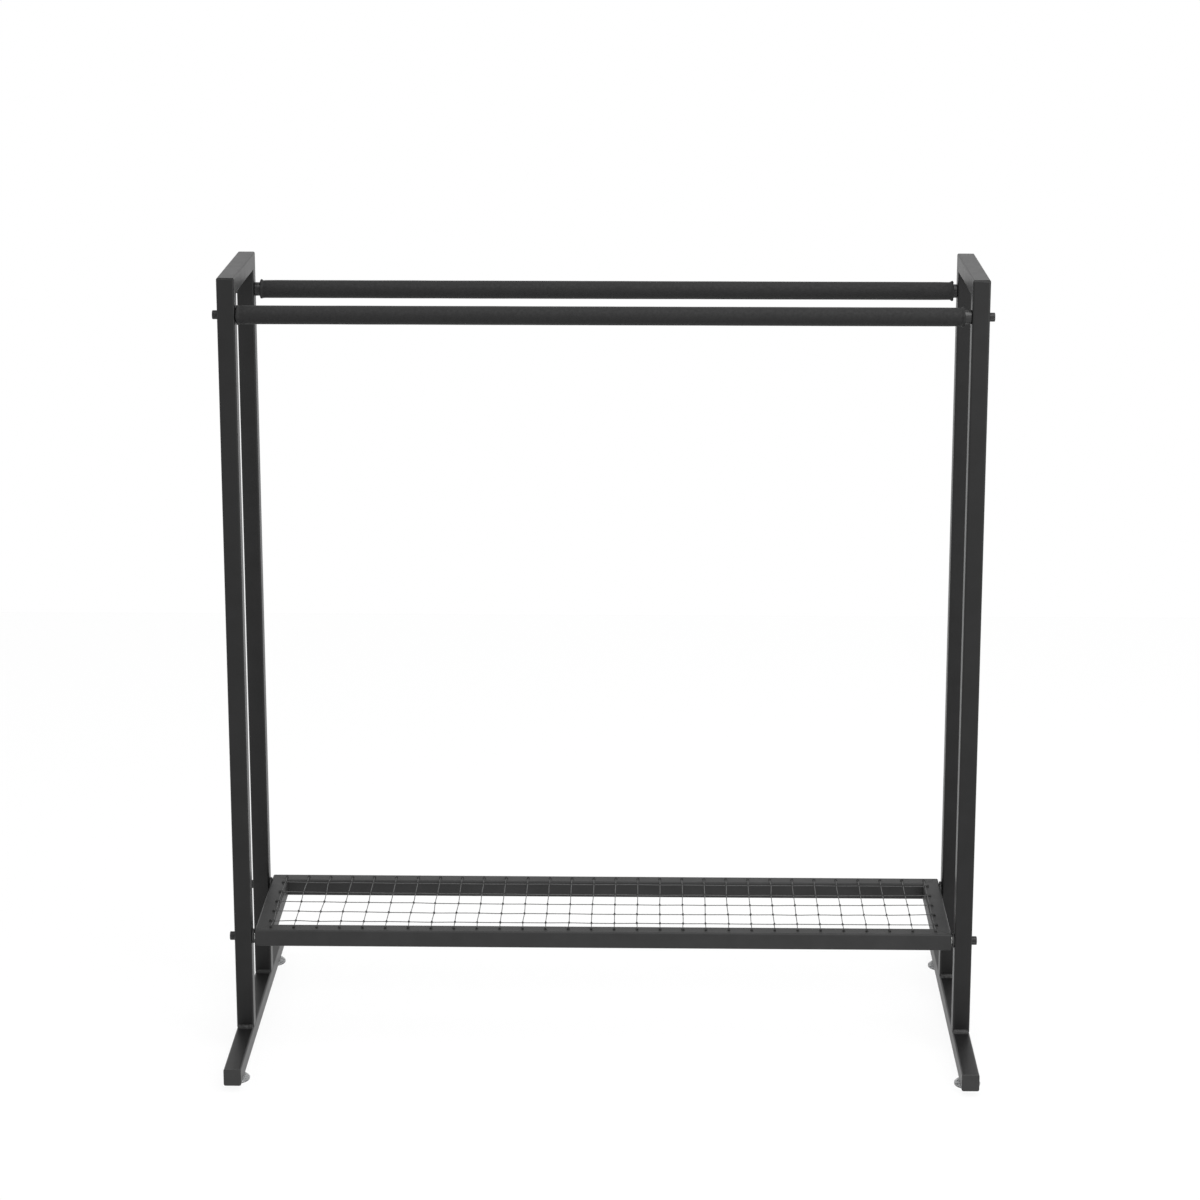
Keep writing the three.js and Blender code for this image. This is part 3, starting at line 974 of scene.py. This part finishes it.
def makeBolts():
    tall = boltValues["headHeight"]
    low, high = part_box("left_front_rail_bolt")
    pattern = makeBolt(high.x - low.x - tall)
    for side in sides:
        for row in rows:
            for kind in ("rail", "shelf"):
                node = f"{side}_{row}_{kind}_bolt"
                low, high, middle = boxOf(node)
                bolt = copyOf(pattern)
                bolt.rotation_euler.x = random.uniform(0, math.tau)
                bolt.rotation_euler.z = 0 if side == "left" else math.pi
                seat = low.x + tall if side == "left" else high.x - tall
                bolt.location = (seat, middle.y, middle.z)
                dress(bolt, f"{side}{row.title()}{kind.title()}Bolt", "screw", "stand", node, crease=32)
    bpy.data.objects.remove(pattern)


random.seed(11)
makeBolts()
print("bolts made")


# Shelf frame and its spacers

shelfValues = {
    "holeRadius": 0.0017,       # of the net's cord holes
    "holeSteps": 20,
    "boltHole": 0.0047,         # radius, for the threaded nut
    "boltHoleSteps": 24,
    "drill": 0.008,             # long enough for one wall
    "sideHoleInset": 0.005,     # from the inner edge of a side tube
    "spacerBore": 0.0033,
    "spacerEdge": 0.0003,
    "spacerFacets": 56,
}

netValues = {
    "cord": 0.00105,
    "depthCords": 30,
    "depthPitch": 0.0268,
    "crossCords": 5,
    "crossPitch": 0.0318,
    "sag": 0.002,
    "overCross": 0.0005,        # a depth cord lies over the cross cords
    "dip": 0.0043,              # how deep an end goes into its hole
    "bend": ((0, -0.6), (0.9, 0.8)),    # over the hole's rim: (inwards, up), in radii of the cord
    "edgeInset": 0.0005,        # where a depth cord leaves the tube's top, from its inner edge
    "edgeLift": 0.0001,
    "wander": 0.0005,           # how far a crossing strays, and the spread of that in X and Y
    "wanderX": 0.5,
    "wanderY": 0.7,
    "looseCords": 4,            # the first depth cords stray more
    "looseWander": 2.2,
    "lay": 0.005,               # length of one turn of the cord's strands
    "layRings": 7,
    "strands": 3,
    "strandPoints": 3,
    "valley": 0.66,             # size of the cord in the grooves between its strands
    "knotRing": 0.0012,
    "knotYarn": 0.00066,
    "knotSteps": (9, 4),        # round the ring and round the yarn
    "knotTilt": 0.2,
    "knotTurn": 0.3,
    "knotSizes": (0.92, 1.1),
    "crossingKnot": 0.84,       # size of the knots at the crossings and over the holes
    "stopperKnot": 1.12,
}


def spacedOut(count, pitch):
    return [(i - (count - 1) / 2) * pitch for i in range(count)]


depthPlaces = spacedOut(netValues["depthCords"], netValues["depthPitch"])
crossPlaces = spacedOut(netValues["crossCords"], netValues["crossPitch"])


def makeShelfFrame():
    lows, highs = {}, {}
    for name in ("front", "rear", "left", "right"):
        lows[name], highs[name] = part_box(f"shelf_{name}_tube")
    outerX, outerY = highs["right"].x, highs["rear"].y
    seam = postValues["seam"] / 2
    # the axis that each tube lies across, and its side of the middle
    signs = {"front": (1, -1), "rear": (1, 1), "left": (0, -1), "right": (0, 1)}
    for name, (across, sign) in signs.items():
        low, high = lows[name].copy(), highs[name].copy()
        along = 1 - across
        cuts = []
        for end in (-1, 1):
            corner = Vector((0, 0, (low.z + high.z) / 2))
            corner[across] = sign * (outerY if across == 1 else outerX)
            corner[along] = end * (outerX if across == 1 else outerY)
            mitre = Vector((0, 0, 0))
            mitre[along] = end
            mitre[across] = -sign
            mitre.normalize()
            cuts.append((corner - mitre * seam, mitre))
        reach = axes[along] * tubeValues["overrun"]
        tube = makeTube(low - reach, high + reach, along, cuts)
        if across == 1:
            places = [Vector((x, (low.y + high.y) / 2, high.z)) for x in depthPlaces]
        else:
            innerFace = high.x if sign < 0 else low.x
            x = innerFace + sign * shelfValues["sideHoleInset"]
            places = [Vector((x, y, high.z)) for y in crossPlaces]
        drill, steps = shelfValues["drill"], shelfValues["holeSteps"]
        drills = [addRod(place, 2, shelfValues["holeRadius"], drill, steps) for place in places]
        combine(tube, joinAll(drills))
        if across == 0:
            for row in rows:
                bolt = boxOf(f"{name}_{row}_shelf_bolt")[2]
                outerFace = low.x if sign < 0 else high.x
                place = Vector((outerFace, bolt.y, bolt.z))
                steps = shelfValues["boltHoleSteps"]
                combine(tube, addRod(place, 0, shelfValues["boltHole"], drill, steps))
        dress(tube, f"shelf{name.title()}Tube", "shelf", "stand", f"shelf_{name}_tube", evenFlats=True)


def makeSpacers():
    bore, edge = shelfValues["spacerBore"], shelfValues["spacerEdge"]
    for side in sides:
        for row in rows:
            node = f"shelf_{side}_{row}_spacer"
            low, high, middle = boxOf(node)
            outline = sleeveOutline(high.x - low.x, bore, (high.z - low.z) / 2, edge)
            centre = Vector((low.x, middle.y, middle.z))
            spacer = turnPiece(outline, centre, 0, shelfValues["spacerFacets"])
            dress(spacer, f"shelf{side.title()}{row.title()}Spacer", "plastic", "stand", node)


makeShelfFrame()
makeSpacers()
print("shelf frame and spacers made")


# The knotted net

# A straight laid cord along +Z: a three-lobed outline wound up with the screw modifier
def layCord(length):
    deselect()
    points = netValues["strands"] * netValues["strandPoints"]
    bpy.ops.mesh.primitive_circle_add(vertices=points, radius=netValues["cord"] / 2)
    cord = bpy.context.object
    startEdit(cord)
    bpy.ops.mesh.select_mode(type="VERT")
    shape = bmesh.from_edit_mesh(cord.data)
    shape.verts.ensure_lookup_table()
    for place in range(0, points, netValues["strandPoints"]):
        shape.verts[place].select_set(True)
    bmesh.update_edit_mesh(cord.data)
    valley = netValues["valley"]
    bpy.ops.transform.resize(value=(valley, valley, 1), center_override=(0, 0, 0))
    endEdit()
    turns = max(1, round(length / netValues["lay"]))
    applyModifier(
        cord, "SCREW", axis="Z", angle=math.tau, screw_offset=netValues["lay"], iterations=turns,
        steps=netValues["layRings"], render_steps=netValues["layRings"],
    )
    startEdit(cord)
    mergeDoubles()
    takeAll()
    bpy.ops.transform.resize(
        value=(1, 1, length / (turns * netValues["lay"])), center_override=(0, 0, 0)
    )
    for end in (0, length):
        pick(cord, lambda edge: edge.is_boundary and abs(edgeMiddle(edge).z - end) < nearPoint, "EDGE")
        bpy.ops.mesh.edge_face_add()
    turnOutwards()
    endEdit()
    return cord


# A smooth curve through the points, and its length
def lineThrough(points):
    data = bpy.data.curves.new("cordLine", "CURVE")
    data.dimensions = "3D"
    data.resolution_u = 8
    line = data.splines.new("BEZIER")
    line.bezier_points.add(len(points) - 1)
    for bezierPoint, point in zip(line.bezier_points, points):
        bezierPoint.co = point
        bezierPoint.handle_left_type = "AUTO"
        bezierPoint.handle_right_type = "AUTO"
    curve = bpy.data.objects.new("cordLine", data)
    bpy.context.scene.collection.objects.link(curve)
    bpy.context.view_layer.update()
    return curve, line.calc_length()


def stringCord(points):
    curve, length = lineThrough(points)
    cord = layCord(length)
    applyModifier(cord, "CURVE", object=curve, deform_axis="POS_Z")
    bpy.data.objects.remove(curve)
    return cord


def makeNet():
    top = boxOf("shelf_front_tube")[1].z
    halfX = boxOf("shelf_right_tube")[0].x
    halfY = boxOf("shelf_rear_tube")[0].y
    holeY = boxOf("shelf_rear_tube")[2].y
    holeX = halfX + shelfValues["sideHoleInset"]
    cordRadius = netValues["cord"] / 2
    resting = top + cordRadius
    lean = shelfValues["holeRadius"] - cordRadius

    def sagAt(x, y):
        return netValues["sag"] * max(0, 1 - (x / halfX) ** 2) * max(0, 1 - (y / halfY) ** 2)

    # every crossing strays a little from its place
    crossings = {}
    for i, x in enumerate(depthPlaces):
        for j, y in enumerate(crossPlaces):
            stray = netValues["wander"] * (netValues["looseWander"] if i < netValues["looseCords"] else 1)
            strayX = random.gauss(0, netValues["wanderX"]) * stray
            strayY = random.gauss(0, netValues["wanderY"]) * stray
            place = Vector((x + strayX, y + strayY, 0))
            place.z = resting - sagAt(place.x, place.y)
            crossings[i, j] = place

    # an end climbs out of its hole and bends over the rim
    def endPoints(hole, inward):
        mouth = hole + inward * lean
        points = [mouth - axes[2] * netValues["dip"]]
        for across, up in netValues["bend"]:
            points.append(mouth + inward * cordRadius * across + axes[2] * cordRadius * up)
        return points

    # a depth cord then lies along the tube's top, to its inner edge
    depthCords = []
    lift = axes[2] * netValues["overCross"]
    onTop = (holeY + halfY) / 2 - lean
    atEdge = halfY - netValues["edgeInset"]
    for i, x in enumerate(depthPlaces):
        front = endPoints(Vector((x, -holeY, top)), axes[1])
        rear = endPoints(Vector((x, holeY, top)), -axes[1])
        for end, sign in ((front, -1), (rear, 1)):
            end.append(Vector((x, sign * onTop, resting)))
            end.append(Vector((x, sign * atEdge, resting + netValues["edgeLift"])))
        middle = [crossings[i, j] + lift for j in range(len(crossPlaces))]
        depthCords.append(stringCord(front + middle + rear[::-1]))
    depthPiece = joinAll(depthCords)
    dress(depthPiece, "netDepthCords", "cord", "stand", "shelf_net", crease=75)

    crossCords = []
    for j, y in enumerate(crossPlaces):
        left = endPoints(Vector((-holeX, y, top)), axes[0])
        right = endPoints(Vector((holeX, y, top)), -axes[0])
        middle = [crossings[i, j] for i in range(len(depthPlaces))]
        crossCords.append(stringCord(left + middle + right[::-1]))
    crossPiece = joinAll(crossCords)
    dress(crossPiece, "netCrossCords", "cord", "stand", "shelf_net", crease=75)

    holes = [Vector((x, sign * holeY, resting)) for x in depthPlaces for sign in (-1, 1)]
    holes += [Vector((sign * holeX, y, resting)) for y in crossPlaces for sign in (-1, 1)]
    knots = tieKnots([place + lift / 2 for place in crossings.values()], netValues["crossingKnot"])
    stoppers = tieKnots(holes, netValues["stopperKnot"])
    dress(joinAll(knots + stoppers), "netKnots", "knot", "stand", "shelf_net", crease=80)


# One knot is two turns of yarn drawn diagonally over a crossing
def tieKnots(places, size):
    ringSteps, yarnSteps = netValues["knotSteps"]
    tilt, turn = netValues["knotTilt"], netValues["knotTurn"]
    turns = []
    for slant in (1, -1):
        deselect()
        bpy.ops.mesh.primitive_torus_add(
            major_segments=ringSteps, minor_segments=yarnSteps, major_radius=netValues["knotRing"],
            minor_radius=netValues["knotYarn"], rotation=(quarter, 0, slant * quarter / 2),
        )
        fixPlace()
        turns.append(bpy.context.object)
    pattern = joinAll(turns)
    knots = []
    for place in places:
        knot = copyOf(pattern)
        knot.location = place
        knot.rotation_euler = [random.uniform(-most, most) for most in (tilt, tilt, turn)]
        knot.scale = [size * random.uniform(*netValues["knotSizes"]) for axis in axes]
        selectOnly(knot)
        fixPlace()
        knots.append(knot)
    bpy.data.objects.remove(pattern)
    return knots


random.seed(23)
makeNet()
print("net strung and knotted")


# Floor, room and lamps

roomValues = {
    "floorSize": 3.6,
    "floorColor": (0.96, 0.96, 0.96),
    "floorClear": 0.91,     # share of the white room in what is seen of the floor
    "light": 0.75,          # strength of the room on what it lights
}

lampValues = {
    "overhead": {"place": (0.35, -0.8, 2.5), "aim": (0, 0, 0.6), "size": 1.7, "power": 38},
    "right": {"place": (1.5, -1.7, 1.1), "aim": (0.3, 0, 0.4), "size": 1.0, "power": 20},
}


# One for what is seen, mirrored or seen through, and zero for light that falls on a surface
def seenRays(tree):
    rays = tree.nodes.new("ShaderNodeLightPath")
    seen = rays.outputs["Is Camera Ray"]
    for kind in ("Is Glossy Ray", "Is Transmission Ray"):
        either = tree.nodes.new("ShaderNodeMath")
        either.operation = "MAXIMUM"
        tree.links.new(seen, either.inputs[0])
        tree.links.new(rays.outputs[kind], either.inputs[1])
        seen = either.outputs[0]
    return seen


# A floor that takes light and shadow, and is looked through so that a lowered foot still shows
def makeFloor():
    deselect()
    bpy.ops.mesh.primitive_plane_add(size=roomValues["floorSize"])
    floor = bpy.context.object
    floor.name = "floor"
    material = bpy.data.materials.new("paleFloor")
    material.use_nodes = True
    tree = material.node_tree
    tree.nodes.remove(tree.nodes["Principled BSDF"])
    diffuse = tree.nodes.new("ShaderNodeBsdfDiffuse")
    diffuse.inputs["Color"].default_value = (*roomValues["floorColor"], 1)
    clear = tree.nodes.new("ShaderNodeBsdfTransparent")
    share = tree.nodes.new("ShaderNodeMath")
    share.operation = "MULTIPLY"
    share.inputs[1].default_value = roomValues["floorClear"]
    mix = tree.nodes.new("ShaderNodeMixShader")
    tree.links.new(seenRays(tree), share.inputs[0])
    tree.links.new(share.outputs[0], mix.inputs["Fac"])
    tree.links.new(diffuse.outputs[0], mix.inputs[1])
    tree.links.new(clear.outputs[0], mix.inputs[2])
    tree.links.new(mix.outputs[0], tree.nodes["Material Output"].inputs["Surface"])
    floor.data.materials.append(material)


def makeRoom():
    world = bpy.data.worlds.new("whiteRoom")
    bpy.context.scene.world = world
    world.use_nodes = True
    tree = world.node_tree
    lighting = tree.nodes["Background"]
    lighting.inputs["Color"].default_value = (1, 1, 1, 1)
    lighting.inputs["Strength"].default_value = roomValues["light"]
    white = tree.nodes.new("ShaderNodeBackground")
    white.inputs["Color"].default_value = (1, 1, 1, 1)
    mix = tree.nodes.new("ShaderNodeMixShader")
    tree.links.new(seenRays(tree), mix.inputs["Fac"])
    tree.links.new(lighting.outputs[0], mix.inputs[1])
    tree.links.new(white.outputs[0], mix.inputs[2])
    tree.links.new(mix.outputs[0], tree.nodes["World Output"].inputs["Surface"])


def makeLamps():
    for name, values in lampValues.items():
        place = Vector(values["place"])
        aim = (Vector(values["aim"]) - place).to_track_quat("-Z", "Y").to_euler()
        bpy.ops.object.light_add(type="AREA", location=place, rotation=aim)
        lamp = bpy.context.object
        lamp.name = name + "Lamp"
        lamp.data.size = values["size"]
        lamp.data.energy = values["power"]
        lamp.visible_camera = False


makeFloor()
makeRoom()
makeLamps()
bpy.context.scene.view_settings.view_transform = "Standard"
print("floor, room and lamps made")
